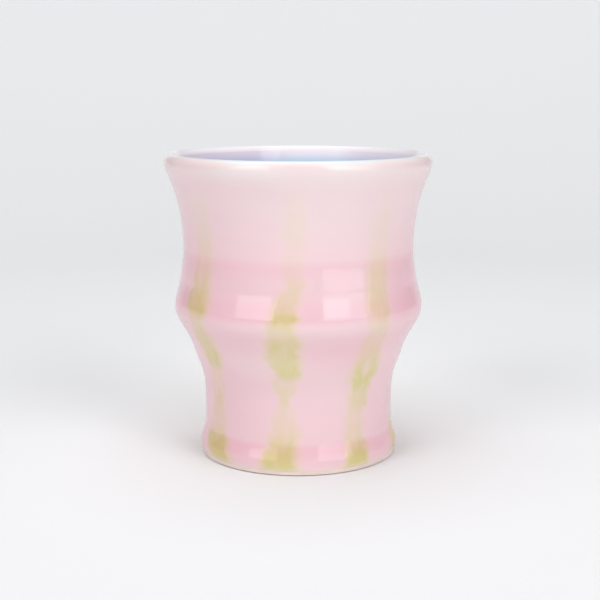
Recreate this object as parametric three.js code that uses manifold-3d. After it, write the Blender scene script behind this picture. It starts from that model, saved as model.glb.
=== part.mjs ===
// A belted porcelain sipper cup, in millimetres with +Z up. The origin is the middle of the
// plane that it stands on, and -Y is the front. One turned clay body carries a pink glaze coat
// outside, a blue glaze coat inside and eight runs of green glaze over the pink.
import * as THREE from 'three';
import { mergeVertices } from 'three/addons/utils/BufferGeometryUtils.js';
import Module from 'manifold-3d';

const wasm = await Module();
wasm.setup();

// Outside of the cup, from the lip down: the rings that its profile swings between
const CUP_HEIGHT = 90;
const LIP_RADIUS = 39.6;
const LIP_DROP = 2.6; // widest ring of the lip, below the crown
const LIP_ROUND_OUT = 2.7; // widest ring to the crown, measured inwards
const LIP_ROUND_IN = 0.9; // crown to the inner edge, measured inwards
const NECK_RADIUS = 34.2;
const NECK_RISE = 10.1; // above the collar
const COLLAR_RADIUS = 35.1;
const COLLAR_RISE = 8.3; // above the belt
const BELT_RADIUS = 37;
const BELT_HEIGHT = 44.3;
const CONE_RADIUS = 31.8;
const CONE_DROP = 11.3; // below the belt
const WAIST_RADIUS = 28.2;
const WAIST_HEIGHT = 14.6;
const FOOT_RADIUS = 29.7;
const FOOT_HEIGHT = 3.9;

// How far the profile leans outwards per millimetre of rise, where it does not stand upright
const COLLAR_LEAN = -0.05;
const CONE_LEAN = 0.33;
const BARE_LEAN = 0.18;
const INNER_LIP_LEAN = 0.35;

// Bare clay at the foot
const BARE_HEIGHT = 1.4; // the outer glaze stops here
const BARE_INSET = 0.25; // that edge, inside the widest ring of the foot
const BASE_INSET = 0.8; // standing edge, inside the widest ring of the foot
const BASE_ROUND = 0.4;
const FOOT_RING_WIDTH = 4.5;
const RECESS_DEPTH = 1.6;
const RECESS_SLOPE = 1; // how far the recess draws in over its depth

// Walls and coats
const WALL = 3.2; // clay and both coats together
const FLOOR_THICKNESS = 4; // clay alone
const FLOOR_CORNER = 9;
const INNER_LIP_DROP = 2.2; // inner edge of the lip, below the crown
const GLAZE = 0.4;
const GLAZE_EDGE = 0.15; // the outer coat thins to this at its lower edge
const GLAZE_TAPER = 2.5; // over this height

// Green runs
const RUN_COUNT = 8;
const RUN_FIRST_AZIMUTH = -52.5; // degrees from the front, to the right
const RUN_THICKNESS = 0.25;
const RUN_TAIL_GAP = 0.4; // lower end, above the edge of the outer coat
const RUN_HEAD_RISE = 14; // upper end, above the neck
const RUN_TAIL_WIDTH = 5.5;
const RUN_FOOT_WIDTH = 10;
const RUN_WAIST_WIDTH = 7;
const RUN_THREAD_WIDTH = 2.6; // the narrow place between waist and cone
const RUN_CONE_WIDTH = 9.4;
const RUN_BELT_WIDTH = 6.6;
const RUN_NECK_WIDTH = 5;
const RUN_HEAD_WIDTH = 1.6;
const RUN_SWAY = 1.2; // sideways wander of a run about its own line
const RUN_SWAY_LENGTH = 60; // height of one full wander
const RUN_SWAY_STEP = 150; // degrees by which the wander shifts from one run to the next

// Facets
const TURN_STEPS = 40;
const RUN_EDGE_STEPS = 16;
const QUARTER_ROUND = 0.5523; // handle share of a cubic that draws a quarter of an ellipse
const SOFT_TURN = 0.4; // handle share on the inside, whose turns are softer

const PINK_GLAZE = { color: 0xf0cfd4, roughness: 0.12, metalness: 0 };
const BLUE_GLAZE = { color: 0xb7cee2, roughness: 0.12, metalness: 0 };
const GREEN_GLAZE = { color: 0xdad0a4, roughness: 0.15, metalness: 0 };
const BARE_PORCELAIN = { color: 0xece4d4, roughness: 0.6, metalness: 0 };

const point = (r, z) => new THREE.Vector2(r, z);

// Rings of the outside. "below" and "above" are the lengths of the curve's handles at the ring,
// as shares of the swing on that side: short ones turn tightly and long ones run on straight.
const crown = point(LIP_RADIUS - LIP_ROUND_OUT, CUP_HEIGHT);
const lip = { r: LIP_RADIUS, z: CUP_HEIGHT - LIP_DROP, lean: 0, below: 0.12 };
const belt = { r: BELT_RADIUS, z: BELT_HEIGHT, lean: 0, below: 0.24, above: 0.29 };
const collar = { r: COLLAR_RADIUS, z: belt.z + COLLAR_RISE, lean: COLLAR_LEAN, below: 0.16, above: 0.25 };
const neck = { r: NECK_RADIUS, z: collar.z + NECK_RISE, lean: 0, below: 0.25, above: 0.67 };
const cone = { r: CONE_RADIUS, z: belt.z - CONE_DROP, lean: CONE_LEAN, below: 0.4, above: 0.43 };
const waist = { r: WAIST_RADIUS, z: WAIST_HEIGHT, lean: 0, below: 0.77, above: 0.6 };
const foot = { r: FOOT_RADIUS, z: FOOT_HEIGHT, lean: 0, below: 0.4, above: 0.14 };
const bareEdge = { r: FOOT_RADIUS - BARE_INSET, z: BARE_HEIGHT, lean: BARE_LEAN, above: 0.3 };

// Rings of the inside stand one wall in from those of the outside
const inner = (ring) => ({ ...ring, r: ring.r - WALL, below: SOFT_TURN, above: SOFT_TURN });
const innerLip = {
  r: crown.x - LIP_ROUND_IN,
  z: CUP_HEIGHT - INNER_LIP_DROP,
  lean: INNER_LIP_LEAN,
  below: 0.2,
};
const floorTop = RECESS_DEPTH + FLOOR_THICKNESS + GLAZE;
const floorEdge = point(WAIST_RADIUS - WALL - FLOOR_CORNER, floorTop);

// A cubic from one ring up to the next, which leaves and meets them along their leans
function swing(low, high) {
  const rise = high.z - low.z;
  const leave = low.above * rise;
  const meet = high.below * rise;
  return new THREE.CubicBezierCurve(
    point(low.r, low.z),
    point(low.r + low.lean * leave, low.z + leave),
    point(high.r - high.lean * meet, high.z - meet),
    point(high.r, high.z),
  );
}

// A quarter round from a ring up to a level point
function roundOver(ring, level) {
  const leave = QUARTER_ROUND * (level.y - ring.z);
  return new THREE.CubicBezierCurve(
    point(ring.r, ring.z),
    point(ring.r + ring.lean * leave, ring.z + leave),
    point(level.x + QUARTER_ROUND * (ring.r - level.x), level.y),
    level,
  );
}

// The quarter round from the flat of the floor up into the wall
function floorRound(level, ring) {
  const meet = QUARTER_ROUND * (ring.z - level.y);
  return new THREE.CubicBezierCurve(
    level,
    point(level.x + QUARTER_ROUND * (ring.r - level.x), level.y),
    point(ring.r - ring.lean * meet, ring.z - meet),
    point(ring.r, ring.z),
  );
}

// The direction in which a cubic runs at t, from its first derivative
function heading(curve, t) {
  const along = new THREE.Vector2();
  along.addScaledVector(curve.v1.clone().sub(curve.v0), (1 - t) ** 2);
  along.addScaledVector(curve.v2.clone().sub(curve.v1), 2 * t * (1 - t));
  along.addScaledVector(curve.v3.clone().sub(curve.v2), t ** 2);
  return along.normalize();
}

// Stations along a chain of cubics from the bottom up: each has its place on the glazed face and
// the direction out of the wall. Side is 1 on the outside of the cup and -1 on the inside.
function stations(chain, side) {
  const list = [];
  chain.forEach(([curve, steps], order) => {
    for (let i = order === 0 ? 0 : 1; i <= steps; i++) {
      const along = heading(curve, i / steps);
      list.push({ at: curve.getPoint(i / steps), out: point(along.y * side, -along.x * side) });
    }
  });
  return list;
}

// Places at a depth below the glazed face, or above it where the depth is negative
const sunk = (list, depth) => list.map(({ at, out }) => at.clone().addScaledVector(out, -depth(at.y)));
const faces = (list) => list.map(({ at }) => at);

// Each swing of the outside, with the number of facets along it
function outsideStations() {
  return stations([
    [swing(bareEdge, foot), 2],
    [swing(foot, waist), 3],
    [swing(waist, cone), 3],
    [swing(cone, belt), 4],
    [swing(belt, collar), 3],
    [swing(collar, neck), 1],
    [swing(neck, lip), 4],
    [roundOver(lip, crown), 3],
  ], 1);
}

// The same for the inside, from the flat of the floor
function insideStations() {
  return stations([
    [floorRound(floorEdge, inner(waist)), 3],
    [swing(inner(waist), inner(cone)), 2],
    [swing(inner(cone), inner(belt)), 2],
    [swing(inner(belt), inner(collar)), 2],
    [swing(inner(collar), inner(neck)), 1],
    [swing(inner(neck), innerLip), 3],
    [roundOver(innerLip, crown), 2],
  ], -1);
}

// The outer coat thins towards its lower edge, and the liner has one thickness
function coatDepth(z) {
  const risen = THREE.MathUtils.clamp((z - BARE_HEIGHT) / GLAZE_TAPER, 0, 1);
  return THREE.MathUtils.lerp(GLAZE_EDGE, GLAZE, risen);
}
const linerDepth = () => GLAZE;

// A profile turned once round the Z axis, starting at the front
function turned(profile) {
  const geometry = new THREE.LatheGeometry(profile, TURN_STEPS).rotateX(Math.PI / 2);
  geometry.deleteAttribute('normal');
  geometry.deleteAttribute('uv');
  return mergeVertices(geometry);
}

function solidOf(geometry) {
  const vertProperties = new Float32Array(geometry.attributes.position.array);
  const triVerts = new Uint32Array(geometry.index.array);
  return new wasm.Manifold(new wasm.Mesh({ numProp: 3, vertProperties, triVerts }));
}

function geometryOf(solid) {
  const mesh = solid.getMesh();
  const geometry = new THREE.BufferGeometry();
  geometry.setAttribute('position', new THREE.BufferAttribute(mesh.vertProperties, 3));
  geometry.setIndex(new THREE.BufferAttribute(mesh.triVerts, 1));
  return geometry;
}

const outside = outsideStations();
const inside = insideStations();
const clayOutside = sunk(outside, coatDepth);
const clayInside = sunk(inside, linerDepth);

// Clay: the recess under the base, the bare standing ring, up the outside and down the inside
function porcelainBody() {
  const baseRadius = FOOT_RADIUS - BASE_INSET;
  const ringInside = baseRadius - FOOT_RING_WIDTH;
  return turned([
    point(0, RECESS_DEPTH),
    point(ringInside - RECESS_SLOPE, RECESS_DEPTH),
    point(ringInside, 0),
    point(baseRadius - BASE_ROUND, 0),
    point(baseRadius, BASE_ROUND),
    ...clayOutside,
    ...clayInside.slice(0, -1).reverse(),
    point(0, floorTop - GLAZE),
  ]);
}

// Pink coat: a closed ring between its own face and the clay
function outerGlaze() {
  const face = faces(outside);
  return turned([...face, ...[...clayOutside].reverse(), face[0]]);
}

// Blue coat: over the clay from the floor to the crown, and back down its own face
function linerGlaze() {
  return turned([
    point(0, floorTop - GLAZE),
    ...clayInside,
    ...faces(inside).reverse(),
    point(0, floorTop),
  ]);
}

// Outline of one run, seen straight on: pools at the foot, the cone and the belt, a thread between
// them, and a side-to-side wander that each run has at another height
function runOutline(order) {
  const widths = [
    [bareEdge.z + RUN_TAIL_GAP, RUN_TAIL_WIDTH],
    [foot.z, RUN_FOOT_WIDTH],
    [waist.z, RUN_WAIST_WIDTH],
    [(waist.z + cone.z) / 2, RUN_THREAD_WIDTH],
    [cone.z, RUN_CONE_WIDTH],
    [belt.z, RUN_BELT_WIDTH],
    [neck.z, RUN_NECK_WIDTH],
    [neck.z + RUN_HEAD_RISE, RUN_HEAD_WIDTH],
  ];
  const shift = THREE.MathUtils.degToRad(order * RUN_SWAY_STEP);
  const sway = (z) => RUN_SWAY * Math.sin((2 * Math.PI * z) / RUN_SWAY_LENGTH + shift);
  const edge = (side) => widths.map(([z, width]) => point(sway(z) + (side * width) / 2, z));
  const right = new THREE.SplineCurve(edge(1)).getPoints(RUN_EDGE_STEPS);
  const left = new THREE.SplineCurve(edge(-1)).getPoints(RUN_EDGE_STEPS);
  return new THREE.Shape([...right, ...left.reverse()]);
}

// The outline pushed outwards from the axis, through the front of the wall
function runCutter(order) {
  const reach = 2 * Math.max(LIP_RADIUS, BELT_RADIUS, FOOT_RADIUS);
  const prism = new THREE.ExtrudeGeometry(runOutline(order), { depth: reach, bevelEnabled: false });
  prism.rotateX(Math.PI / 2);
  prism.rotateZ(THREE.MathUtils.degToRad(RUN_FIRST_AZIMUTH + (order * 360) / RUN_COUNT));
  prism.deleteAttribute('normal');
  prism.deleteAttribute('uv');
  return solidOf(mergeVertices(prism));
}

// Green runs: cut from a thin ring that lies on the pink coat all the way round
function greenRuns() {
  const face = faces(outside);
  const proud = sunk(outside, () => -RUN_THICKNESS);
  const ring = solidOf(turned([...proud, ...[...face].reverse(), proud[0]]));
  return Array.from({ length: RUN_COUNT }, (_, order) => geometryOf(ring.intersect(runCutter(order))));
}

const cup = new THREE.Group();

function addPiece(name, geometry, finish) {
  const piece = new THREE.Mesh(geometry, new THREE.MeshStandardMaterial(finish));
  piece.name = name;
  cup.add(piece);
}

addPiece('porcelain_body', porcelainBody(), BARE_PORCELAIN);
addPiece('outer_glaze', outerGlaze(), PINK_GLAZE);
addPiece('liner_glaze', linerGlaze(), BLUE_GLAZE);
greenRuns().forEach((run, order) => addPiece(`green_run_${order + 1}`, run, GREEN_GLAZE));

export default cup;
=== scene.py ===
import math
from collections import namedtuple

import bpy
import numpy as np
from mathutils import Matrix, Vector


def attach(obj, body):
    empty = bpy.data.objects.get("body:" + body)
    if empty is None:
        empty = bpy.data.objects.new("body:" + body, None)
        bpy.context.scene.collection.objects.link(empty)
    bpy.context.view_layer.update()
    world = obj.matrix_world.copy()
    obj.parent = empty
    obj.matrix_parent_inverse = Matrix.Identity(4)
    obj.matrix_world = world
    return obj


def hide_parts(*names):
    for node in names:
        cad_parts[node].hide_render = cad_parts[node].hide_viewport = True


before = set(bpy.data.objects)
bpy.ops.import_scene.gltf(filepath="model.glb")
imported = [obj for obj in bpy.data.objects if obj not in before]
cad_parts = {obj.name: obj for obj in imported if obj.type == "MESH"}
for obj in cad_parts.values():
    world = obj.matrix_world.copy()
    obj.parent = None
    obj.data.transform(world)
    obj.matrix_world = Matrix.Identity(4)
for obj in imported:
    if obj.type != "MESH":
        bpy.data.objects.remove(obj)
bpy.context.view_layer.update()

MM = 0.001

# Outside of the cup, from the crown down: the sizes of the cup are in millimetres
CUP_HEIGHT = 90.0
CROWN_RADIUS = 37.5
LIP_RADIUS = 39.6
LIP_HEIGHT = 87.4
NECK_RADIUS = 34.3
NECK_HEIGHT = 61.0
COLLAR_RADIUS = 35.22
COLLAR_HEIGHT = 53.6
BELT_TOP_RADIUS = 36.88
BELT_TOP_HEIGHT = 46.3
BELT_RADIUS = 37.0
BELT_HEIGHT = 44.3
CONE_RADIUS = 31.8
CONE_HEIGHT = 33.0
WAIST_RADIUS = 28.2
WAIST_HEIGHT = 14.6
INSTEP_RADIUS = 28.32
INSTEP_HEIGHT = 9.2
FOOT_RADIUS = 29.65
FOOT_HEIGHT = 3.9
BARE_RADIUS = 29.45  # lower edge of the pink coat
BARE_HEIGHT = 1.4

# Standing ring and the recess under the floor
BASE_RADIUS = 29.4
BASE_ROUND = 0.45  # height of the heel
BASE_TUCK = 2.6  # how far the heel runs in under the cup
RING_INNER_RADIUS = 24.4
RECESS_RADIUS = 23.4
RECESS_HEIGHT = 1.6

# Inside of the cup
WALL = 3.2  # clay and both coats together
INNER_LIP_RADIUS = 34.9
INNER_LIP_HEIGHT = 86.0
FLOOR_HEIGHT = 6.0
FLOOR_RADIUS = 16.0  # flat part of the floor

# Coats
GLAZE = 0.4
GLAZE_EDGE = 0.15  # the pink coat thins to this at its lower edge
GLAZE_TAPER = 2.5  # over this height
RUN_RISE = 0.12  # green glaze over the pink at the middle of a full pool
RUN_SINK = 0.05  # its faded edges, under the face of the pink
RUN_BACK = 0.25  # its buried back, under the face of the pink
RISE_START = 0.1  # strengths between which a run rises out of the pink
RISE_END = 0.9

# Handles of the curves, as shares of what they round
QUARTER_ROUND = 0.5523  # draws a quarter of an ellipse
FLARED_ROUND = 0.3  # at the inner lip, which stays flared up to its edge
SOFT_TURN = 0.4  # on the inside, whose turns are softer

# Facets
TURN_COLUMNS = 360
CLAY_COLUMNS = 240
HEEL_PLACES = 9
LEAST_STEPS = 3  # along one curve
FACE_STEP = 0.45  # along the glazed faces
BURIED_STEP = 2.5  # along faces that the coats hide
SHARP_ANGLE = 40.0  # degrees between two faces, over which their edge is not smoothed

# One ring of the profile: its lean is outwards per rise, and its handles are shares of the swing
Ring = namedtuple("Ring", "radius height lean below above")
LIP = Ring(LIP_RADIUS, LIP_HEIGHT, 0.0, 0.12, 0.0)
NECK = Ring(NECK_RADIUS, NECK_HEIGHT, 0.0, 0.15, 0.67)
COLLAR = Ring(COLLAR_RADIUS, COLLAR_HEIGHT, -0.1, 0.28, 0.3)
BELT_TOP = Ring(BELT_TOP_RADIUS, BELT_TOP_HEIGHT, -0.09, 0.3, 0.16)
BELT = Ring(BELT_RADIUS, BELT_HEIGHT, 0.0, 0.24, 0.35)
CONE = Ring(CONE_RADIUS, CONE_HEIGHT, 0.33, 0.4, 0.43)
WAIST = Ring(WAIST_RADIUS, WAIST_HEIGHT, 0.0, 0.75, 0.6)
INSTEP = Ring(INSTEP_RADIUS, INSTEP_HEIGHT, -0.17, 0.45, 0.12)
FOOT = Ring(FOOT_RADIUS, FOOT_HEIGHT, 0.0, 0.4, 0.12)
BARE_EDGE = Ring(BARE_RADIUS, BARE_HEIGHT, 0.18, 0.0, 0.3)
INNER_LIP = Ring(INNER_LIP_RADIUS, INNER_LIP_HEIGHT, 0.55, 0.2, 0.0)
CROWN = (CROWN_RADIUS, CUP_HEIGHT)
FLOOR_EDGE = (FLOOR_RADIUS, FLOOR_HEIGHT)

# Green runs: stretches from the top down, with the middle's sideways place, and partings, where a soft
# ellipse of pink shows through by a share
Run = namedtuple("Run", "stretches partings")
Stretch = namedtuple("Stretch", "height middle half_width strength")
Parting = namedtuple("Parting", "height aside half_width half_height share")
LEFT_STRETCHES = (
    Stretch(84.0, 1.6, 2.4, 0.0),
    Stretch(76.0, 1.0, 4.3, 0.18),
    Stretch(67.0, 1.8, 3.8, 0.33),
    Stretch(60.0, 0.9, 4.1, 0.44),
    Stretch(55.0, 0.4, 4.4, 0.66),
    Stretch(53.0, 0.4, 4.6, 0.70),
    Stretch(50.0, 0.0, 5.6, 0.80),
    Stretch(47.5, 0.3, 5.5, 0.90),
    Stretch(43.6, 0.7, 3.6, 0.50),
    Stretch(41.5, 0.5, 4.2, 0.62),
    Stretch(38.4, 0.2, 5.0, 0.72),
    Stretch(31.2, 1.2, 3.9, 0.80),
    Stretch(28.6, 0.2, 3.5, 0.40),
    Stretch(23.0, -1.2, 4.1, 0.40),
    Stretch(20.0, -1.0, 2.4, 0.62),
    Stretch(13.0, -2.0, 4.9, 0.40),
    Stretch(9.6, -2.6, 5.3, 0.58),
    Stretch(8.4, -2.5, 5.7, 0.93),
    Stretch(5.0, -1.9, 6.0, 1.1),
    Stretch(2.2, 0.8, 5.6, 1.0),
)
MIDDLE_STRETCHES = (
    Stretch(84.0, 3.8, 2.2, 0.0),
    Stretch(74.5, 3.9, 3.2, 0.24),
    Stretch(69.0, 3.4, 3.3, 0.25),
    Stretch(66.0, 3.8, 2.8, 0.18),
    Stretch(60.0, 2.9, 3.3, 0.20),
    Stretch(55.8, 3.9, 2.7, 0.46),
    Stretch(52.0, 1.4, 3.7, 0.57),
    Stretch(49.3, 0.6, 3.8, 0.64),
    Stretch(47.2, 1.0, 4.4, 0.94),
    Stretch(45.0, 0.1, 4.0, 0.76),
    Stretch(42.8, 0.4, 4.8, 0.56),
    Stretch(39.4, 0.5, 5.2, 0.76),
    Stretch(35.5, -0.2, 5.2, 0.76),
    Stretch(30.2, 1.5, 3.8, 0.84),
    Stretch(27.6, 0.0, 3.7, 0.42),
    Stretch(25.2, -0.1, 3.5, 0.50),
    Stretch(23.4, 0.0, 2.4, 0.52),
    Stretch(21.5, -0.2, 1.5, 0.56),
    Stretch(19.7, -0.1, 1.8, 0.42),
    Stretch(17.9, -0.3, 3.2, 0.36),
    Stretch(15.5, -0.3, 3.8, 0.44),
    Stretch(12.5, -0.1, 4.6, 0.48),
    Stretch(9.2, -0.9, 4.6, 0.72),
    Stretch(7.8, -1.2, 4.6, 0.84),
    Stretch(4.1, -1.8, 5.6, 1.0),
)
RIGHT_STRETCHES = (
    Stretch(84.0, 2.6, 1.8, 0.0),
    Stretch(72.4, 1.6, 4.3, 0.19),
    Stretch(66.0, 2.2, 4.0, 0.25),
    Stretch(59.0, 1.7, 4.0, 0.53),
    Stretch(52.2, 0.5, 4.2, 0.56),
    Stretch(47.9, 0.5, 4.6, 0.60),
    Stretch(45.8, 0.1, 4.0, 0.60),
    Stretch(43.3, 0.5, 3.9, 0.42),
    Stretch(41.0, 0.3, 4.5, 0.46),
    Stretch(38.5, 0.2, 4.5, 0.47),
    Stretch(33.0, 0.8, 4.7, 0.70),
    Stretch(30.0, 0.6, 5.6, 0.79),
    Stretch(26.0, 0.4, 4.1, 0.84),
    Stretch(22.0, -0.1, 3.7, 0.66),
    Stretch(20.0, 0.1, 3.7, 0.64),
    Stretch(17.8, -0.7, 3.3, 0.52),
    Stretch(15.5, -1.3, 3.8, 0.36),
    Stretch(13.0, -1.4, 3.3, 0.50),
    Stretch(10.5, -1.3, 3.3, 0.52),
    Stretch(8.2, -1.0, 3.9, 0.68),
    Stretch(4.6, -0.8, 4.2, 0.98),
    Stretch(2.4, -1.6, 4.6, 0.98),
)
SIDE_STRETCHES = (
    Stretch(84.0, 4.6, 2.4, 0.0),
    Stretch(74.0, 4.8, 3.4, 0.20),
    Stretch(60.0, 4.8, 3.6, 0.42),
    Stretch(50.0, 5.0, 3.9, 0.70),
    Stretch(46.0, 4.8, 3.7, 0.78),
    Stretch(42.0, 4.6, 3.4, 0.48),
    Stretch(34.0, 4.2, 4.2, 0.72),
    Stretch(28.0, 3.0, 3.4, 0.78),
    Stretch(24.0, 2.0, 2.4, 0.40),
    Stretch(17.0, 0.6, 2.4, 0.44),
    Stretch(12.0, -0.8, 3.6, 0.50),
    Stretch(7.0, -2.0, 4.6, 0.75),
    Stretch(3.5, -2.0, 4.8, 0.85),
)
LEFT_PARTINGS = (
    Parting(57.6, 0.7, 1.6, 6.0, 0.35),
    Parting(42.0, -2.6, 2.0, 3.0, 0.3),
)
MIDDLE_PARTINGS = (
    Parting(45.0, 3.4, 2.6, 1.8, 0.15),
)
RIGHT_PARTINGS = (
    Parting(30.8, 0.6, 1.8, 3.2, 0.4),
    Parting(46.0, -2.0, 2.4, 2.4, 0.3),
)
SIDE_PARTINGS = (
    Parting(56.0, 5.4, 1.4, 5.0, 0.35),
)
LEFT_RUN = Run(LEFT_STRETCHES, LEFT_PARTINGS)
MIDDLE_RUN = Run(MIDDLE_STRETCHES, MIDDLE_PARTINGS)
RIGHT_RUN = Run(RIGHT_STRETCHES, RIGHT_PARTINGS)
SIDE_RUN = Run(SIDE_STRETCHES, SIDE_PARTINGS)
RUNS = (LEFT_RUN, MIDDLE_RUN, RIGHT_RUN, SIDE_RUN, MIDDLE_RUN, LEFT_RUN, SIDE_RUN, RIGHT_RUN)
RUN_AZIMUTH = -52.5  # degrees from the front to the right, for the first run
RUN_SPACING = 45.0
RUN_REACH = 10.5  # half width of the piece that carries a run
RUN_TOP = 84.0
RUN_COLUMNS = 44
RUN_FULL = 0.5  # a run keeps its strength out to this share of its half width
RUN_FADED = 1.45  # and has faded out at this one
PARTING_FULL = 0.2  # the same for a parting, as shares of its ellipse
PARTING_FADED = 1.1

# Waves that a run's middle wavers by: millimetres to each side, and radians per millimetre
Wave = namedtuple("Wave", "reach along across")
WAVES = (Wave(0.3, 1.1, 0.9), Wave(0.2, 2.3, -0.7))

# How full the pink is at each height
PINK_DEPTHS = (
    (1.4, 0.62),
    (3.5, 0.78),
    (6.5, 0.97),
    (8.0, 0.95),
    (9.0, 0.74),
    (22.0, 0.68),
    (34.0, 0.65),
    (40.5, 0.74),
    (43.6, 0.62),
    (45.0, 0.75),
    (46.5, 0.87),
    (49.5, 0.87),
    (52.5, 0.76),
    (56.0, 0.745),
    (61.7, 0.83),
    (62.2, 0.66),
    (68.0, 0.58),
    (77.0, 0.48),
    (82.0, 0.47),
    (85.0, 0.36),
    (86.3, 0.31),
    (87.4, 0.35),
    (88.6, 0.38),
    (89.2, 0.28),
    (89.6, 0.12),
    (89.9, 0.0),
)

# Soft ellipses where the pink is fuller or thinner by a gain, some of them painted shade and painted
# highlights
PinkPatch = namedtuple("PinkPatch", "azimuth height half_turn half_height gain")
PINK_AND_PAINTED_LIGHT_PATCHES = (
    PinkPatch(24.0, 35.8, 36.0, 7.4, 0.15),
    PinkPatch(-26.0, 32.0, 20.0, 7.0, -0.07),
    # painted shade: the pink is fuller at the right side above the belt
    PinkPatch(62.0, 51.0, 28.0, 16.0, 0.09),
    # painted highlights: the pink thins where the softbox glints fall on the lip, and is fuller between
    # them
    PinkPatch(-24.0, 87.6, 28.0, 5.0, -0.1),
    PinkPatch(-22.0, 89.0, 14.0, 2.2, -0.13),
    PinkPatch(0.0, 87.6, 15.0, 3.5, 0.07),
    PinkPatch(22.0, 89.0, 15.0, 2.2, -0.14),
    PinkPatch(-150.0, 36.0, 30.0, 6.0, 0.12),
)
PATCH_FULL = 0.2  # a patch keeps its gain out to this share of its ellipse
PATCH_FADED = 1.0
SIDE_SHADE_GAIN = 0.08  # painted shade: the pink is fuller by this at the sides, and thinner at the front and back
LEAST_SHADE_AZIMUTH = 15.0  # degrees, where the pink is thinnest and the painted shade least
BARE_FULL = 0.5  # the clay shows wholly up to this height
BARE_FADE = 2.9  # and the pink hides it from this one up

# How full the blue is, and where painted shade darkens it at the sides of the mouth
BLUE_FULL = 0.95
BLUE_FULL_HEIGHT = 85.2
BLUE_GONE_HEIGHT = 88.9
SHADE_HEIGHTS = (72.0, 84.0)  # the painted shade comes in between these
SHADE_FILL = 0.15  # and goes out with the last of the blue
LEFT_SHADE = (-0.05, 0.42)  # shares of the radius to the side, between which it comes in
RIGHT_SHADE = (0.3, 0.62)
RIGHT_SHADE_SHARE = 0.6

# Colours, as linear reflectance
DEEP_PINK = (0.845, 0.51, 0.58, 1.0)
PALE_PINK = (0.86, 0.82, 0.79, 1.0)
CROWN_WHITE = (0.82, 0.85, 0.89, 1.0)
LIP_WHITE = (0.93, 0.875, 0.91, 1.0)
LAVENDER = (0.85, 0.80, 0.89, 1.0)
LINER_BLUE = (0.55, 0.68, 0.81, 1.0)
NEAR_PAPER = (0.892, 0.90, 0.915, 1.0)
# painted light on the floor, where the cup's shadow falls
SHADOW_LIFT_PAPER = (0.965, 0.972, 0.985, 1.0)
# painted fall-off of the light far behind the cup
FALLOFF_PAPER = (0.831, 0.836, 0.851, 1.0)
CREAM = (0.80, 0.665, 0.60, 1.0)
PALE_CREAM = (0.86, 0.715, 0.66, 1.0)

# Tints, as factors on the colour under them
THIN_GREEN = (0.945, 1.10, 0.76, 1.0)
FULL_GREEN = (0.782, 0.98, 0.43, 1.0)
MOUTH_SHADE_TINT = (0.83, 0.775, 0.83, 1.0)  # painted shade at the sides of the mouth

# Patterns, as lumps per metre along each axis
PINK_CLOUD = (90, 90, 60)
PINK_RIPPLE = (230, 230, 170)
GREEN_STREAK = (520, 520, 110)
GREEN_MOTTLE = (420, 420, 300)
BLUE_CLOUD = (120, 120, 160)
BLUE_RIPPLE = (160, 160, 110)
CLAY_GRAIN = (2600, 2600, 2600)
CLAY_CLOUD = (200, 200, 200)
PATTERN_ROUGHNESS = 0.55  # how strong the finer lumps are

# Finishes: spans of a value, and the spans that they are carried over to
GLAZE_SPAN = (0.2, 0.8)
PINK_ROUGHNESS = (0.06, 0.11)
BLUE_ROUGHNESS = (0.05, 0.09)
CLAY_SPAN = (0.3, 0.7)
CLAY_ROUGHNESS = (0.55, 0.75)
STREAK_SPAN = (0.6, 1.4)
STREAK_LIFT = (0.86, 1.13)  # factor on the green
CROWN_DEPTHS = (0.0, 0.2)  # white turns to pale pink
LAVENDER_FILLS = (0.05, 0.55)  # white turns to lavender
BLUE_FILLS = (0.4, 1.0)  # and lavender to blue
PINK_CLOUDING = 0.10  # how much the cloud adds to the pink
BLUE_CLOUDING = 0.16
COVER_GAIN = 1.15  # the green covers wholly a little before it is full
GLAZE_IOR = 1.5

# Relief: depth in metres, and strength
PINK_RELIEF = (0.0001, 0.45)
BLUE_RELIEF = (0.0001, 0.25)
CLAY_RELIEF = (0.00005, 0.3)

# Camera of the photograph
EYE = (0.00049, -0.3671, 0.1123)  # metres
PITCH_DOWN = 10.271  # degrees
LENS = 74.25  # millimetres, as the sensor is
SENSOR = 36.0
CLIP_START = 0.01  # metres

# Studio, in metres
FLOOR_HOLE = 0.0266  # the floor is open under the cup, inside the outer edge of the standing ring
FLAT_RADIUS = 0.42
SWEEP_RADIUS = 0.55
WALL_TOP = 0.4
FLOOR_REACH = 4.0
SWEEP_START = 130.0  # degrees from the front, where the floor starts to rise into the wall
SWEEP_FULL = 158.0
FLOOR_COLUMNS = 120
FLAT_ROWS = 12
SWEEP_ROWS = 40
CUP_MIDDLE = 0.05  # height that the softboxes are set out from
SOFTBOX_DISTANCE = 1.2
OVERHEAD_HEIGHT = 3.0
ROOM_GREY = (0.31, 0.31, 0.31, 1.0)  # light from the room itself

# Paper: metres behind the middle of the cup, or beside it, between which painted light lifts the cup's
# shadow and painted fall-off greys the paper far behind
LIFT_BEGINS = (-0.012, 0.025)
LIFT_BESIDE = (0.035, 0.105)
LIFT_ENDS = (0.06, 0.2)
FALLOFF_BEGINS = (0.12, 0.66)

# Upright softboxes: azimuths from the front and elevations, in degrees, and brightness
SideBox = namedtuple("SideBox", "name first last low high radiance")
SIDE_BOXES = (
    SideBox("left_softbox", -59.0, -25.0, 7.5, 46.0, 1.87),
    SideBox("left_softbox_top", -54.0, -28.0, 28.0, 48.0, 1.8),
    SideBox("right_softbox", 23.0, 65.0, 2.5, 46.0, 1.49),
    SideBox("right_softbox_middle", 24.0, 48.0, 13.0, 60.0, 2.05),
)

# Overhead softboxes: place and size in metres, and brightness
Overhead = namedtuple("Overhead", "name x y width depth radiance")
OVERHEADS = (
    Overhead("overhead_left", -1.5, -0.2, 1.1, 2.8, 1.25),
    Overhead("overhead_middle", 0.0, 0.0, 1.8, 3.4, 1.58),
)


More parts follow.
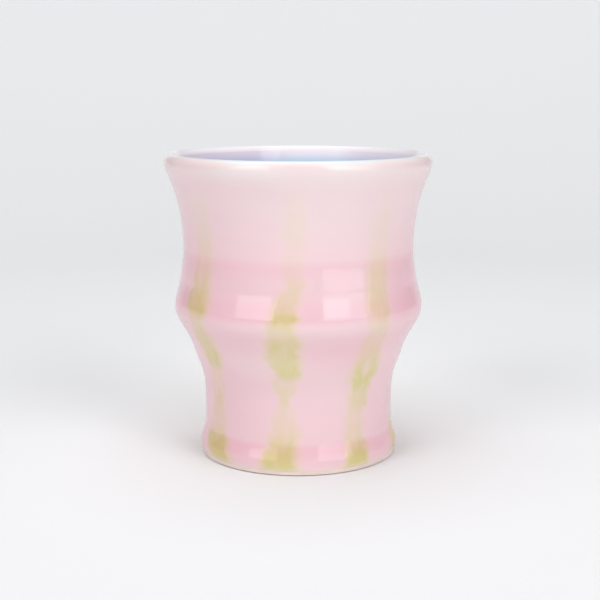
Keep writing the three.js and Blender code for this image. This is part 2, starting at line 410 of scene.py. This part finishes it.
def smooth_step(low, high, value):
    """Rises from 0 at low to 1 at high along 3t^2 - 2t^3."""
    share = np.clip((value - low) / (high - low), 0.0, 1.0)
    return share * share * (3.0 - 2.0 * share)


def soft_ellipse(beside, along, full, faded):
    """Falls from 1 to 0 between two shares of an ellipse, whose rim is 1 away from its middle."""
    return 1.0 - smooth_step(full, faded, np.hypot(beside, along))


# Profile

def cubic(corners, step):
    """Places and headings along a cubic of four corners, with weights (1-t)^3, 3t(1-t)^2, 3t^2(1-t)
    and t^3, at about one place per step. The heading is the first derivative, made one long."""
    first, second, third, last = (np.array(corner, dtype=float) for corner in corners)
    count = max(LEAST_STEPS, math.ceil(np.linalg.norm(last - first) / step))
    t = np.linspace(0.0, 1.0, count + 1)[:, None]
    rest = 1 - t
    place = rest ** 3 * first + 3 * t * rest ** 2 * second + 3 * t ** 2 * rest * third + t ** 3 * last
    heading = rest ** 2 * (second - first) + 2 * t * rest * (third - second) + t ** 2 * (last - third)
    heading /= np.linalg.norm(heading, axis=1, keepdims=True)
    return np.hstack([place, heading])


def swing(low, high):
    """Corners of the cubic from one ring up to the next, leaving and meeting them along their leans."""
    rise = high.height - low.height
    leave = low.above * rise
    meet = high.below * rise
    return (
        (low.radius, low.height),
        (low.radius + low.lean * leave, low.height + leave),
        (high.radius - high.lean * meet, high.height - meet),
        (high.radius, high.height),
    )


def round_over(ring, level, share):
    """Corners of the round from a ring up to a level place, with handles of a given share."""
    leave = share * (level[1] - ring.height)
    return (
        (ring.radius, ring.height),
        (ring.radius + ring.lean * leave, ring.height + leave),
        (level[0] + share * (ring.radius - level[0]), level[1]),
        level,
    )


def floor_round(level, ring):
    """Corners of the quarter round from the flat of the floor up into the wall."""
    meet = QUARTER_ROUND * (ring.height - level[1])
    return (
        level,
        (level[0] + QUARTER_ROUND * (ring.radius - level[0]), level[1]),
        (ring.radius - ring.lean * meet, ring.height - meet),
        (ring.radius, ring.height),
    )


def inner(ring):
    """The ring of the inside that stands one wall in from a ring of the outside."""
    return Ring(ring.radius - WALL, ring.height, ring.lean, SOFT_TURN, SOFT_TURN)


def chain(curves, step):
    """One profile along cubics that follow each other, with each shared place taken once."""
    runs = [cubic(corners, step) for corners in curves]
    return np.vstack([runs[0]] + [run[1:] for run in runs[1:]])


def outside(step):
    """Outer glazed face from the edge of the bare clay up to the crown."""
    rings = (BARE_EDGE, FOOT, INSTEP, WAIST, CONE, BELT, BELT_TOP, COLLAR, NECK, LIP)
    swings = [swing(low, high) for low, high in zip(rings[:-1], rings[1:])]
    return chain(swings + [round_over(LIP, CROWN, QUARTER_ROUND)], step)


def inside(step):
    """Inner glazed face from the flat of the floor up to the crown."""
    rings = [inner(ring) for ring in (WAIST, CONE, BELT, COLLAR, NECK)] + [INNER_LIP]
    swings = [swing(low, high) for low, high in zip(rings[:-1], rings[1:])]
    flare = round_over(INNER_LIP, CROWN, FLARED_ROUND)
    return chain([floor_round(FLOOR_EDGE, rings[0])] + swings + [flare], step)


def out_of_wall(face, side):
    """Direction out of the wall at each place of a profile: its heading turned a quarter, where side
    is 1 on the outside of the cup and -1 on the inside."""
    return np.stack([face[:, 3], -face[:, 2]], axis=1) * side


def under(face, side, depth):
    """The profile that lies at a depth below a glazed face."""
    return face[:, :2] - out_of_wall(face, side) * np.asarray(depth)[..., None]


def coat_depth(height):
    """Thickness of the pink coat, which thins evenly towards its lower edge."""
    share = np.clip((height - BARE_HEIGHT) / GLAZE_TAPER, 0.0, 1.0)
    return GLAZE_EDGE + (GLAZE - GLAZE_EDGE) * share


# Green runs

def wave_aside(wave, aside, height):
    """How far a wave goes to the side: its reach times the sine of its phases along and across."""
    return wave.reach * np.sin(wave.along * height + wave.across * aside)


def run_strength(run, aside, height):
    """Strength of one run at places given by sideways distance and height: the middle, half width and
    full strength go evenly from each stretch to the next, the strength falls off softly to both sides
    of a middle that wavers a little, and soft ellipses are taken out of it at the partings."""
    heights, *columns = np.array(run.stretches)[::-1].T
    middle, half_width, full = (np.interp(height, heights, column) for column in columns)
    waver = sum(wave_aside(wave, aside, height) for wave in WAVES)
    across = np.abs(aside - middle + waver) / half_width
    strength = full * (1.0 - smooth_step(RUN_FULL, RUN_FADED, across))
    for parting in run.partings:
        beside = (aside - parting.aside) / parting.half_width
        along = (height - parting.height) / parting.half_height
        parted = soft_ellipse(beside, along, PARTING_FULL, PARTING_FADED)
        strength = strength * (1.0 - parting.share * parted)
    return strength


def run_azimuth(order):
    """Azimuth of a run's own line, in radians."""
    return math.radians(RUN_AZIMUTH + RUN_SPACING * order)


def turn_from(azimuth, start):
    """Turn from one azimuth to others, taken the short way round."""
    return np.mod(azimuth - start + math.pi, 2 * math.pi) - math.pi


def green_strength(azimuth, height, radius):
    """Strength of the green at places of the outer face: the strongest of the runs that reach each."""
    strength = np.zeros(np.broadcast(azimuth, height).shape)
    for order, run in enumerate(RUNS):
        aside = turn_from(azimuth, run_azimuth(order)) * radius
        near = np.abs(aside) < RUN_REACH
        strength = np.where(near, np.maximum(strength, run_strength(run, aside, height)), strength)
    return strength


def pink_depth_and_painted_light(azimuth, height):
    """How full the pink is, with painted shade and painted highlights in it: its depth at each height,
    less a cosine that goes twice round the cup and paints shade at the sides, plus a soft ellipse at
    each patch, of which some paint glints on the lip and shade at the right side. It thins over the lip
    and along the waist, is paler at the belt's edge, and it pools above the belt and at the foot."""
    heights, depths = np.array(PINK_DEPTHS).T
    turn = azimuth - math.radians(LEAST_SHADE_AZIMUTH)
    # the cosine paints shade at the sides of the cup
    depth = np.interp(height, heights, depths) - SIDE_SHADE_GAIN * np.cos(2.0 * turn)
    for patch in PINK_AND_PAINTED_LIGHT_PATCHES:
        beside = turn_from(azimuth, math.radians(patch.azimuth)) / math.radians(patch.half_turn)
        along = (height - patch.height) / patch.half_height
        depth = depth + patch.gain * soft_ellipse(beside, along, PATCH_FULL, PATCH_FADED)
    return depth


def mouth_side_shade(azimuth):
    """How far painted shade darkens the liner towards the left and, by a smaller share, the right of
    the mouth.
    """
    aside = np.sin(azimuth)
    left = smooth_step(*LEFT_SHADE, -aside)
    right = smooth_step(*RIGHT_SHADE, aside)
    return left + RIGHT_SHADE_SHARE * right


def bare_share(height):
    """How much of the clay shows through the thin lower edge of the pink coat."""
    return 1.0 - smooth_step(BARE_FULL, BARE_FADE, height)


# Meshes

def quads_between(rows, columns, wrap_rows, wrap_columns):
    """Corner numbers of the faces of a grid whose places are numbered row by row."""
    row = np.arange(rows if wrap_rows else rows - 1)[:, None]
    column = np.arange(columns if wrap_columns else columns - 1)[None, :]
    next_row = (row + 1) % rows
    next_column = (column + 1) % columns
    corners = (
        row * columns + column,
        row * columns + next_column,
        next_row * columns + next_column,
        next_row * columns + column,
    )
    return np.stack(corners, axis=-1).reshape(-1, 4)


def mesh_piece(name, places, faces, material, marks):
    """A piece from places in millimetres and faces, with one named number per place for each mark."""
    mesh = bpy.data.meshes.new(name)
    mesh.from_pydata(places * MM, [], faces)
    mesh.update()
    for mark, values in marks.items():
        attribute = mesh.attributes.new(mark, "FLOAT", "POINT")
        attribute.data.foreach_set("value", np.ascontiguousarray(values, dtype=np.float32))
    mesh.shade_smooth()
    mesh.set_sharp_from_angle(angle=math.radians(SHARP_ANGLE))
    mesh.materials.append(material)
    piece = bpy.data.objects.new(name, mesh)
    bpy.context.scene.collection.objects.link(piece)
    return piece


def turned_places(radius, height, azimuth):
    """Places on a turned face: x is the radius times the sine of the azimuth, which goes from the front
    to the right, and y is minus the radius times its cosine."""
    height = np.broadcast_to(height, np.broadcast(radius, azimuth).shape)
    return np.stack([radius * np.sin(azimuth), -radius * np.cos(azimuth), height], axis=-1)


def turn_azimuths(columns):
    """Even azimuths once round the cup."""
    return np.arange(columns) * (2 * math.pi / columns)


def turned_loop(name, loop, columns, material, marks):
    """A closed profile carried once round the axis: rows go along it, and columns round the turn."""
    azimuth = turn_azimuths(columns)[None, :]
    places = turned_places(loop[:, :1], loop[:, 1:], azimuth)
    faces = quads_between(len(loop), columns, True, True)
    return mesh_piece(name, places.reshape(-1, 3), faces.tolist(), material, marks)


def turned_solid(name, profile, columns, material, marks):
    """A profile that starts and ends on the axis, carried once round it, with a fan of faces at
    each end to a single place on the axis."""
    azimuth = turn_azimuths(columns)[None, :]
    rim = profile[1:-1]
    places = turned_places(rim[:, :1], rim[:, 1:], azimuth).reshape(-1, 3)
    ends = np.array([[0.0, 0.0, profile[0, 1]], [0.0, 0.0, profile[-1, 1]]])
    faces = quads_between(len(rim), columns, False, True).tolist()
    column = np.arange(columns)
    following = (column + 1) % columns
    first = len(places)
    top = (len(rim) - 1) * columns
    faces += np.stack([np.full(columns, first), following, column], axis=1).tolist()
    faces += np.stack([np.full(columns, first + 1), top + column, top + following], axis=1).tolist()
    return mesh_piece(name, np.vstack([places, ends]), faces, material, marks)


def patch_rim(shape):
    """True along the four sides of a grid."""
    rim = np.zeros(shape, dtype=bool)
    rim[[0, -1], :] = True
    rim[:, [0, -1]] = True
    return rim


def closed_patch(rim):
    """Faces of a patch and of its back, turned over, which share the places on the rim: the front's
    places are numbered first. Gives the faces, and the numbers of the places that they use."""
    rows, columns = rim.shape
    count = rows * columns
    number = np.arange(2 * count)
    number[count:] = np.where(rim.ravel(), number[:count], number[count:])
    front = quads_between(rows, columns, False, False)
    both = number[np.vstack([front, front[:, ::-1] + count])]
    used = np.unique(both)
    return np.searchsorted(used, both), used


# Shader helpers

def new_material(name):
    """An empty node material with its output."""
    material = bpy.data.materials.new(name)
    material.use_nodes = True
    nodes = material.node_tree.nodes
    nodes.clear()
    output = nodes.new("ShaderNodeOutputMaterial")
    return material, nodes, material.node_tree.links, output


def mark_node(nodes, mark):
    """Reads one of a piece's own numbers."""
    node = nodes.new("ShaderNodeAttribute")
    node.attribute_name = mark
    return node.outputs["Fac"]


def noise_node(nodes, links, lumps, detail):
    """Noise on Object coordinates, with its own number of lumps per metre along each axis."""
    coordinates = nodes.new("ShaderNodeTexCoord")
    mapping = nodes.new("ShaderNodeMapping")
    mapping.inputs["Scale"].default_value = lumps
    noise = nodes.new("ShaderNodeTexNoise")
    noise.inputs["Scale"].default_value = 1.0
    noise.inputs["Detail"].default_value = detail
    noise.inputs["Roughness"].default_value = PATTERN_ROUGHNESS
    links.new(coordinates.outputs["Object"], mapping.inputs["Vector"])
    links.new(mapping.outputs["Vector"], noise.inputs["Vector"])
    return noise.outputs["Fac"]


def math_node(nodes, links, operation, first, second, clamp=False):
    """A sum, product or the like of two numbers, each a socket or a plain value."""
    node = nodes.new("ShaderNodeMath")
    node.operation = operation
    node.use_clamp = clamp
    for socket, value in zip(node.inputs, (first, second)):
        if isinstance(value, (int, float)):
            socket.default_value = value
        else:
            links.new(value, socket)
    return node.outputs["Value"]


def clouded_mark(nodes, links, mark, cloud, gain):
    """One of a piece's own numbers, with a cloud times a gain added to it."""
    total = math_node(nodes, links, "MULTIPLY_ADD", cloud, gain)
    links.new(mark_node(nodes, mark), total.node.inputs[2])
    return total


def mix_node(nodes, links, share, first, second, blend="MIX"):
    """A colour between two others, each a socket or a plain colour, or between the first and their
    product. Inputs 6 and 7 and output 2 are the node's colour sockets."""
    node = nodes.new("ShaderNodeMix")
    node.data_type = "RGBA"
    node.blend_type = blend
    links.new(share, node.inputs["Factor"])
    for socket, value in zip((node.inputs[6], node.inputs[7]), (first, second)):
        if isinstance(value, tuple):
            socket.default_value = value
        else:
            links.new(value, socket)
    return node.outputs[2]


def range_node(nodes, links, value, span, result=(0.0, 1.0)):
    """Carries a span of values over to a span of results, with soft ends."""
    node = nodes.new("ShaderNodeMapRange")
    node.interpolation_type = "SMOOTHSTEP"
    for socket, number in zip(("From Min", "From Max", "To Min", "To Max"), span + result):
        node.inputs[socket].default_value = number
    links.new(value, node.inputs["Value"])
    return node.outputs["Result"]


def bump_node(nodes, links, height, distance, strength):
    """Relief from a pattern, at a depth in metres."""
    node = nodes.new("ShaderNodeBump")
    node.inputs["Distance"].default_value = distance
    node.inputs["Strength"].default_value = strength
    links.new(height, node.inputs["Height"])
    return node.outputs["Normal"]


def glossy_coat(nodes, links, output, colour, normal, roughness):
    """A smooth fired glaze under its own reflections."""
    shader = nodes.new("ShaderNodeBsdfPrincipled")
    links.new(colour, shader.inputs["Base Color"])
    links.new(normal, shader.inputs["Normal"])
    links.new(roughness, shader.inputs["Roughness"])
    shader.inputs["IOR"].default_value = GLAZE_IOR
    links.new(shader.outputs["BSDF"], output.inputs["Surface"])


# Finishes

def pink_colour(nodes, links):
    """Pink that pales as it thins, and turns white where it is thinnest; its depth also carries painted
    shade at the sides and painted glints on the lip.
    """
    cloud = noise_node(nodes, links, PINK_CLOUD, detail=3)
    # the depth mark holds the pink's thickness together with painted shade at the sides and painted
    # glints on the lip
    depth = clouded_mark(nodes, links, "pink_depth_and_painted_light", cloud, PINK_CLOUDING)
    crown = range_node(nodes, links, depth, CROWN_DEPTHS)
    pale = mix_node(nodes, links, crown, CROWN_WHITE, PALE_PINK)
    return mix_node(nodes, links, depth, pale, DEEP_PINK)


def outer_glaze_finish():
    """Pink glaze under streaked films of yellow-green, which tint it more as they get fuller, with
    bare clay at its lower edge."""
    material, nodes, links, output = new_material("pink_and_green_glaze")
    streak = noise_node(nodes, links, GREEN_STREAK, detail=3)
    mottle = noise_node(nodes, links, GREEN_MOTTLE, detail=3)
    broken = math_node(nodes, links, "ADD", streak, mottle)
    lift = range_node(nodes, links, broken, STREAK_SPAN, STREAK_LIFT)
    green = math_node(nodes, links, "MULTIPLY", mark_node(nodes, "green"), lift, True)
    film = mix_node(nodes, links, green, THIN_GREEN, FULL_GREEN)
    cover = math_node(nodes, links, "MULTIPLY", green, COVER_GAIN, True)
    glazed = mix_node(nodes, links, cover, pink_colour(nodes, links), film, "MULTIPLY")
    colour = mix_node(nodes, links, mark_node(nodes, "bare"), glazed, PALE_CREAM)
    ripple = noise_node(nodes, links, PINK_RIPPLE, detail=2)
    normal = bump_node(nodes, links, ripple, *PINK_RELIEF)
    roughness = range_node(nodes, links, mottle, GLAZE_SPAN, PINK_ROUGHNESS)
    glossy_coat(nodes, links, output, colour, normal, roughness)
    return material


def liner_finish():
    """Blue glaze that thins to lavender and white at the lip, with painted shade at the sides of the
    mouth.
    """
    material, nodes, links, output = new_material("blue_liner_glaze")
    cloud = noise_node(nodes, links, BLUE_CLOUD, detail=4)
    fill = clouded_mark(nodes, links, "blue_depth", cloud, BLUE_CLOUDING)
    lavender = range_node(nodes, links, fill, LAVENDER_FILLS)
    blue = range_node(nodes, links, fill, BLUE_FILLS)
    thin = mix_node(nodes, links, lavender, LIP_WHITE, LAVENDER)
    even = mix_node(nodes, links, blue, thin, LINER_BLUE)
    colour = mix_node(nodes, links, mark_node(nodes, "mouth_side_shade"), even, MOUTH_SHADE_TINT, "MULTIPLY")
    ripple = noise_node(nodes, links, BLUE_RIPPLE, detail=2)
    normal = bump_node(nodes, links, ripple, *BLUE_RELIEF)
    roughness = range_node(nodes, links, cloud, GLAZE_SPAN, BLUE_ROUGHNESS)
    glossy_coat(nodes, links, output, colour, normal, roughness)
    return material


def bare_clay_finish():
    """Matt fired porcelain with a fine sanded grain."""
    material, nodes, links, output = new_material("bare_porcelain")
    grain = noise_node(nodes, links, CLAY_GRAIN, detail=3)
    cloud = noise_node(nodes, links, CLAY_CLOUD, detail=2)
    pale = range_node(nodes, links, cloud, CLAY_SPAN)
    roughness = range_node(nodes, links, grain, CLAY_SPAN, CLAY_ROUGHNESS)
    shader = nodes.new("ShaderNodeBsdfPrincipled")
    links.new(mix_node(nodes, links, pale, CREAM, PALE_CREAM), shader.inputs["Base Color"])
    links.new(roughness, shader.inputs["Roughness"])
    links.new(bump_node(nodes, links, grain, *CLAY_RELIEF), shader.inputs["Normal"])
    links.new(shader.outputs["BSDF"], output.inputs["Surface"])
    return material


# Pieces of the cup

def clay_body(material):
    """The turned clay: recess, standing ring, a heel that is a quarter of an ellipse, up under the pink
    coat and down under the liner."""
    outer = outside(BURIED_STEP)
    hollow = inside(BURIED_STEP)
    turn = np.linspace(0.0, math.pi / 2, HEEL_PLACES)
    heel = np.stack([
        BASE_RADIUS - BASE_TUCK + BASE_TUCK * np.sin(turn),
        BASE_ROUND - BASE_ROUND * np.cos(turn),
    ], axis=1)
    profile = np.vstack([
        [[0.0, RECESS_HEIGHT], [RECESS_RADIUS, RECESS_HEIGHT], [RING_INNER_RADIUS, 0.0]],
        heel,
        under(outer, 1, coat_depth(outer[:, 1])),
        under(hollow, -1, GLAZE)[-2::-1],
        [[0.0, FLOOR_HEIGHT - GLAZE]],
    ])
    return turned_solid("clay_body", profile, CLAY_COLUMNS, material, {})


def pink_coat(material):
    """The pink coat: its glazed face from the bare edge to the crown, and back down along the clay."""
    face = outside(FACE_STEP)
    back = outside(BURIED_STEP)
    buried = under(back, 1, coat_depth(back[:, 1]))[::-1]
    loop = np.vstack([face[:, :2], buried])
    azimuth = turn_azimuths(TURN_COLUMNS)[None, :]
    green = green_strength(azimuth, loop[:, 1:], loop[:, :1])
    # pink depth, with painted shade at the sides and painted glints on the lip
    pink = pink_depth_and_painted_light(azimuth, loop[:, 1:])
    bare = np.repeat(bare_share(loop[:, 1]), TURN_COLUMNS)
    marks = {"green": green.ravel(), "pink_depth_and_painted_light": pink.ravel(), "bare": bare}
    return turned_loop("pink_coat", loop, TURN_COLUMNS, material, marks)


def blue_liner(material):
    """The liner: over the clay from the floor to the crown, and back down its own face."""
    hollow = inside(BURIED_STEP)
    face = inside(FACE_STEP)[::-1]
    profile = np.vstack([
        [[0.0, FLOOR_HEIGHT - GLAZE]],
        under(hollow, -1, GLAZE),
        face[:, :2],
        [[0.0, FLOOR_HEIGHT]],
    ])
    height = profile[:, 1]
    fill = np.interp(height, (BLUE_FULL_HEIGHT, BLUE_GONE_HEIGHT), (BLUE_FULL, 0.0))
    # painted shade at the sides of the mouth
    near_mouth = smooth_step(*SHADE_HEIGHTS, height) * np.clip(fill / SHADE_FILL, 0.0, 1.0)
    mouth_shade = np.outer(near_mouth[1:-1], mouth_side_shade(turn_azimuths(TURN_COLUMNS)))
    marks = {
        "blue_depth": np.append(np.repeat(fill[1:-1], TURN_COLUMNS), fill[[0, -1]]),
        "mouth_side_shade": np.append(mouth_shade, [0.0, 0.0]),
    }
    return turned_solid("blue_liner", profile, TURN_COLUMNS, material, marks)


def lifted_places(face, azimuth, lift):
    """Places of the outer face, moved out of the wall by a lift."""
    out = out_of_wall(face, 1)
    radius = face[:, :1] + out[:, :1] * lift
    height = face[:, 1:2] + out[:, 1:] * lift
    return turned_places(radius, height, azimuth).reshape(-1, 3)


def green_run(order, material):
    """One run: a patch of the outer face, raised by its strength at each place and sunk under the pink
    where it has faded, with a back buried in the pink. The patch is equally wide all the way down: its
    azimuths are the run's own and the sideways distances over the radius."""
    face = outside(FACE_STEP)
    face = face[face[:, 1] < RUN_TOP]
    height = face[:, 1:2]
    aside = np.linspace(-RUN_REACH, RUN_REACH, RUN_COLUMNS)[None, :]
    azimuth = run_azimuth(order) + aside / face[:, :1]
    strength = run_strength(RUNS[order], aside, height)
    raised = (RUN_RISE + RUN_SINK) * smooth_step(RISE_START, RISE_END, strength) - RUN_SINK
    rim = patch_rim(strength.shape)
    front = lifted_places(face, azimuth, np.where(rim, -RUN_BACK, raised))
    back = lifted_places(face, azimuth, -RUN_BACK)
    faces, used = closed_patch(rim)
    grids = {
        "green": strength,
        "pink_depth_and_painted_light": pink_depth_and_painted_light(azimuth, height),
        "bare": np.broadcast_to(bare_share(height), rim.shape),
    }
    marks = {mark: np.tile(grid.ravel(), 2)[used] for mark, grid in grids.items()}
    places = np.vstack([front, back])[used]
    return mesh_piece(f"green_run_{order + 1}_glaze", places, faces.tolist(), material, marks)


def dress_cup():
    """Makes each piece, hides the solid that it stands for and lets it ride with the cup."""
    glaze = outer_glaze_finish()
    pieces = [
        (clay_body(bare_clay_finish()), "porcelain_body", "bare_porcelain"),
        (pink_coat(glaze), "outer_glaze", "pink_glaze"),
        (blue_liner(liner_finish()), "liner_glaze", "blue_glaze"),
    ]
    for order in range(len(RUNS)):
        pieces.append((green_run(order, glaze), f"green_run_{order + 1}", "green_glaze"))
    for piece, node, slot in pieces:
        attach(piece, "root")
        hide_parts(node)


# Studio

def studio_floor():
    """A pale floor, open under the cup, that runs out flat to the front and sweeps up into a low wall
    behind: along each column the flat line and the swept line are mixed by how far the column points
    to the back."""
    azimuth = turn_azimuths(FLOOR_COLUMNS)[None, :]
    from_front = math.pi - np.abs(azimuth - math.pi)
    back = smooth_step(math.radians(SWEEP_START), math.radians(SWEEP_FULL), from_front)
    flat = np.linspace(0.0, 1.0, FLAT_ROWS)[:, None]
    full_turn = math.acos(1.0 - WALL_TOP / SWEEP_RADIUS)
    turn = np.linspace(0.0, full_turn, SWEEP_ROWS)[1:, None]
    level_radius = FLOOR_HOLE + flat * (FLAT_RADIUS - FLOOR_HOLE)
    swept_radius = np.vstack([level_radius, FLAT_RADIUS + SWEEP_RADIUS * np.sin(turn)])
    swept_height = np.vstack([flat * 0.0, SWEEP_RADIUS * (1.0 - np.cos(turn))])
    rows = len(swept_radius)
    outward = np.linspace(0.0, 1.0, rows)[:, None] ** 2
    open_radius = FLOOR_HOLE + (FLOOR_REACH - FLOOR_HOLE) * outward
    radius = back * swept_radius + (1.0 - back) * open_radius
    places = turned_places(radius, back * swept_height, azimuth).reshape(-1, 3)
    faces = quads_between(rows, FLOOR_COLUMNS, False, True)[:, ::-1].tolist()
    floor = mesh_piece("studio_floor", places / MM, faces, floor_finish(), {})


def floor_finish():
    """Pale matt paper, with painted light that lifts the cup's shadow close behind it and painted
    fall-off that greys it far behind, and clear from below.
    """
    material, nodes, links, output = new_material("pale_floor")
    paper = nodes.new("ShaderNodeBsdfDiffuse")
    place = nodes.new("ShaderNodeSeparateXYZ")
    links.new(nodes.new("ShaderNodeTexCoord").outputs["Object"], place.inputs["Vector"])
    # painted light: whiter paper close behind the cup, where its shadow falls
    behind = range_node(nodes, links, place.outputs["Y"], LIFT_BEGINS)
    aside = math_node(nodes, links, "ABSOLUTE", place.outputs["X"], 0.0)
    beside = range_node(nodes, links, aside, LIFT_BESIDE, (1.0, 0.0))
    close = range_node(nodes, links, place.outputs["Y"], LIFT_ENDS, (1.0, 0.0))
    painted_light = math_node(nodes, links, "MULTIPLY", behind, beside)
    painted_light = math_node(nodes, links, "MULTIPLY", painted_light, close)
    near = mix_node(nodes, links, painted_light, NEAR_PAPER, SHADOW_LIFT_PAPER)
    # painted shade: greyer paper far behind
    falloff = range_node(nodes, links, place.outputs["Y"], FALLOFF_BEGINS)
    links.new(mix_node(nodes, links, falloff, near, FALLOFF_PAPER), paper.inputs["Color"])
    clear = nodes.new("ShaderNodeBsdfTransparent")
    side = nodes.new("ShaderNodeNewGeometry")
    shown = nodes.new("ShaderNodeMixShader")
    links.new(side.outputs["Backfacing"], shown.inputs["Fac"])
    links.new(paper.outputs["BSDF"], shown.inputs[1])
    links.new(clear.outputs["BSDF"], shown.inputs[2])
    links.new(shown.outputs["Shader"], output.inputs["Surface"])
    return material


def softbox(name, place, aim, width, height, radiance):
    """A plain rectangular lamp that faces its aim: its power is pi times its area and brightness."""
    lamp = bpy.data.lights.new(name, "AREA")
    lamp.shape = "RECTANGLE"
    lamp.size = width
    lamp.size_y = height
    lamp.energy = math.pi * width * height * radiance
    holder = bpy.data.objects.new(name, lamp)
    holder.location = place
    holder.rotation_euler = (Vector(aim) - Vector(place)).to_track_quat("-Z", "Y").to_euler()
    bpy.context.scene.collection.objects.link(holder)


def side_softbox(box):
    """An upright softbox between two azimuths from the front and between two elevations, as seen from
    the middle of the cup."""
    turn = math.radians((box.first + box.last) / 2)
    x = SOFTBOX_DISTANCE * math.sin(turn)
    y = -SOFTBOX_DISTANCE * math.cos(turn)
    width = 2 * SOFTBOX_DISTANCE * math.tan(math.radians((box.last - box.first) / 2))
    bottom = CUP_MIDDLE + SOFTBOX_DISTANCE * math.tan(math.radians(box.low))
    top = CUP_MIDDLE + SOFTBOX_DISTANCE * math.tan(math.radians(box.high))
    middle = (bottom + top) / 2
    softbox(box.name, (x, y, middle), (0.0, 0.0, middle), width, top - bottom, box.radiance)


def overhead_softbox(box):
    """A level softbox that faces straight down."""
    place = (box.x, box.y, OVERHEAD_HEIGHT)
    softbox(box.name, place, (box.x, box.y, 0.0), box.width, box.depth, box.radiance)


def studio_lights():
    """Softboxes on both sides, each with a brighter part, two wide ones overhead, and a dim room."""
    for box in SIDE_BOXES:
        side_softbox(box)
    for box in OVERHEADS:
        overhead_softbox(box)
    world = bpy.data.worlds.new("dim_room")
    world.use_nodes = True
    world.node_tree.nodes["Background"].inputs["Color"].default_value = ROOM_GREY
    bpy.context.scene.world = world


def photo_camera():
    """The camera of the photograph, level from side to side and pitched down."""
    camera = bpy.data.cameras.new("photo_camera")
    camera.lens = LENS
    camera.sensor_width = SENSOR
    camera.sensor_fit = "HORIZONTAL"
    camera.clip_start = CLIP_START
    holder = bpy.data.objects.new("photo_camera", camera)
    holder.location = EYE
    holder.rotation_euler = (math.radians(90.0 - PITCH_DOWN), 0.0, 0.0)
    bpy.context.scene.collection.objects.link(holder)
    bpy.context.scene.camera = holder


dress_cup()
studio_floor()
studio_lights()
photo_camera()
bpy.context.scene.view_settings.view_transform = "Standard"
